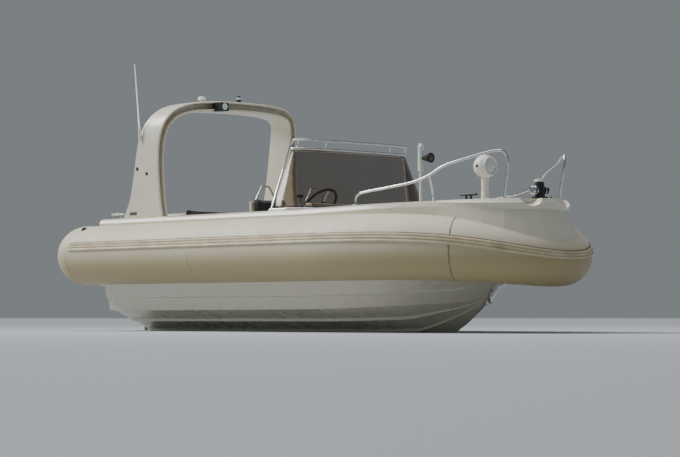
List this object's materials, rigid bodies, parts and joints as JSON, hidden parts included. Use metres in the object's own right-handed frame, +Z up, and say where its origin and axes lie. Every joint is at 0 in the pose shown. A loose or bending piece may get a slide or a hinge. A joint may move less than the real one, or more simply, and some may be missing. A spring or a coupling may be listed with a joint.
{
  "type": "rigid inflatable boat",
  "caption": "Deep-V rigid inflatable boat with inflated collar, wrap-around windscreen, equipment arch, bow rails, sunpad over a hatch and a steering, tilting stern drive.",
  "frame": {"origin": "on the centreline amidships, 3.2 m forward of the collar's stern ends, at the waterline of the boat as it runs in the picture, 0.12 m above the keel's straight run", "axes": "+X to the bow, +Y to port, +Z up"},
  "size_m": [6.1353, 2.627, 3.1605],
  "materials": {
    "gelcoat": "glossy off-white moulded glass-fibre gelcoat",
    "fabric": "matt cream coated collar fabric",
    "rubber": "ribbed sand-coloured strake",
    "stainless": "polished stainless tube",
    "acrylic": "smoked acrylic",
    "upholstery": "cream marine vinyl",
    "dark_vinyl": "black marine vinyl",
    "cast_grey": "satin charcoal paint on cast aluminium",
    "bronze": "polished propeller steel",
    "black_plastic": "black moulded plastic",
    "white_plastic": "white moulded plastic",
    "engine_iron": "painted engine block"
  },
  "bodies": {
    "boat": {"hull": "gelcoat", "cockpit": "gelcoat", "foredeck": "gelcoat", "swim_platform": "gelcoat", "aft_bench": "gelcoat", "dashboard": "gelcoat", "arch": "gelcoat", "tube_port": "fabric", "tube_starboard": "fabric", "tube_bow": "fabric", "rub_strake": "rubber", "windscreen_frame": "stainless", "bow_rail_port": "stainless", "bow_rail_starboard": "stainless", "cleat_stern_port": "stainless", "cleat_stern_starboard": "stainless", "seat_pedestal_port": "stainless", "seat_pedestal_starboard": "stainless", "ladder_bracket": "stainless", "windscreen": "acrylic", "bench_cushion": "upholstery", "bench_backrest": "dark_vinyl", "transom_shield": "cast_grey", "all_round_light": "black_plastic", "arch_lamp": "black_plastic", "horn": "black_plastic", "windlass": "black_plastic", "cleat_bow_port": "black_plastic", "cleat_bow_starboard": "black_plastic", "antenna": "white_plastic", "satellite_receiver": "white_plastic", "light_post": "white_plastic", "searchlight_base": "white_plastic", "engine": "engine_iron"},
    "wheel": {"steering_wheel": "black_plastic"},
    "gimbal": {"gimbal_ring": "cast_grey"},
    "trim_barrels": {"trim_barrel_port": "cast_grey", "trim_barrel_starboard": "cast_grey"},
    "trim_rods": {"trim_rod_port": "stainless", "trim_rod_starboard": "stainless"},
    "drive": {"drive_leg": "cast_grey"},
    "propeller_body": {"propeller": "bronze"},
    "hatch": {"engine_hatch": "gelcoat", "sunpad": "upholstery"},
    "cabin_lid": {"cabin_hatch": "acrylic"},
    "locker_lid": {"anchor_locker_lid": "gelcoat"},
    "ladder": {"boarding_ladder": "stainless"},
    "seat_port": {"seat_shell_port": "gelcoat", "seat_cushion_port": "upholstery", "seat_backrest_port": "dark_vinyl"},
    "seat_starboard": {"seat_shell_starboard": "gelcoat", "seat_cushion_starboard": "upholstery", "seat_backrest_starboard": "dark_vinyl"},
    "lamp": {"searchlight": "white_plastic"}
  },
  "joints": [
    {"name": "steering_wheel_turn", "type": "hinge", "parent": "boat", "child": "wheel", "pos_m": [-0.035, -0.33, 1.23], "axis": [-0.7421, 0, 0.6703], "range_deg": [-540, 540]},
    {"name": "drive_steering", "type": "hinge", "parent": "boat", "child": "gimbal", "pos_m": [-2.9, 0, 0.235], "axis": [0, 0, 1], "range_deg": [-31, 31]},
    {"name": "drive_tilt", "type": "hinge", "parent": "gimbal", "child": "drive", "pos_m": [-2.9, 0, 0.235], "axis": [0, 1, 0], "range_deg": [-5, 45]},
    {"name": "trim_barrel_swing", "type": "hinge", "parent": "gimbal", "child": "trim_barrels", "pos_m": [-2.91, 0, 0.12], "axis": [0, 1, 0], "range_deg": [-4, 33]},
    {"name": "trim_rod_slide", "type": "slide", "parent": "trim_barrels", "child": "trim_rods", "axis": [-0.8944, 0, 0.4472], "range_m": [-0.01, 0.075]},
    {"name": "propeller_spin", "type": "hinge", "parent": "drive", "child": "propeller_body", "pos_m": [-3.215, 0, -0.28], "axis": [1, 0, 0], "continuous": true},
    {"name": "engine_hatch_lift", "type": "hinge", "parent": "boat", "child": "hatch", "pos_m": [-2.645, 0, 1.0804], "axis": [0, -1, 0], "range_deg": [0, 60]},
    {"name": "cabin_hatch_lift", "type": "hinge", "parent": "boat", "child": "cabin_lid", "pos_m": [1.65, 0, 1.1683], "axis": [0, 1, 0], "range_deg": [0, 75]},
    {"name": "anchor_locker_lift", "type": "hinge", "parent": "boat", "child": "locker_lid", "pos_m": [2.078, 0, 1.1826], "axis": [0, -1, 0], "range_deg": [0, 85]},
    {"name": "ladder_fold", "type": "hinge", "parent": "boat", "child": "ladder", "pos_m": [-3.185, -0.48, 0.542], "axis": [0, -1, 0], "range_deg": [0, 250]},
    {"name": "seat_swivel_port", "type": "hinge", "parent": "boat", "child": "seat_port", "pos_m": [-0.62, 0.33, 0.7], "axis": [0, 0, 1], "range_deg": [-180, 180]},
    {"name": "seat_swivel_starboard", "type": "hinge", "parent": "boat", "child": "seat_starboard", "pos_m": [-0.62, -0.33, 0.7], "axis": [0, 0, 1], "range_deg": [-180, 180]},
    {"name": "searchlight_pan", "type": "hinge", "parent": "boat", "child": "lamp", "pos_m": [1.83, 0, 1.28], "axis": [0, 0, 1], "range_deg": [-170, 170]}
  ],
  "couplings": [
    {"joint": "drive_steering", "follows": "steering_wheel_turn", "ratio": -0.05556},
    {"joint": "trim_barrel_swing", "follows": "drive_tilt", "ratio": 0.709},
    {"joint": "trim_rod_slide", "follows": "drive_tilt", "m_per_rad": 0.0901}
  ]
}
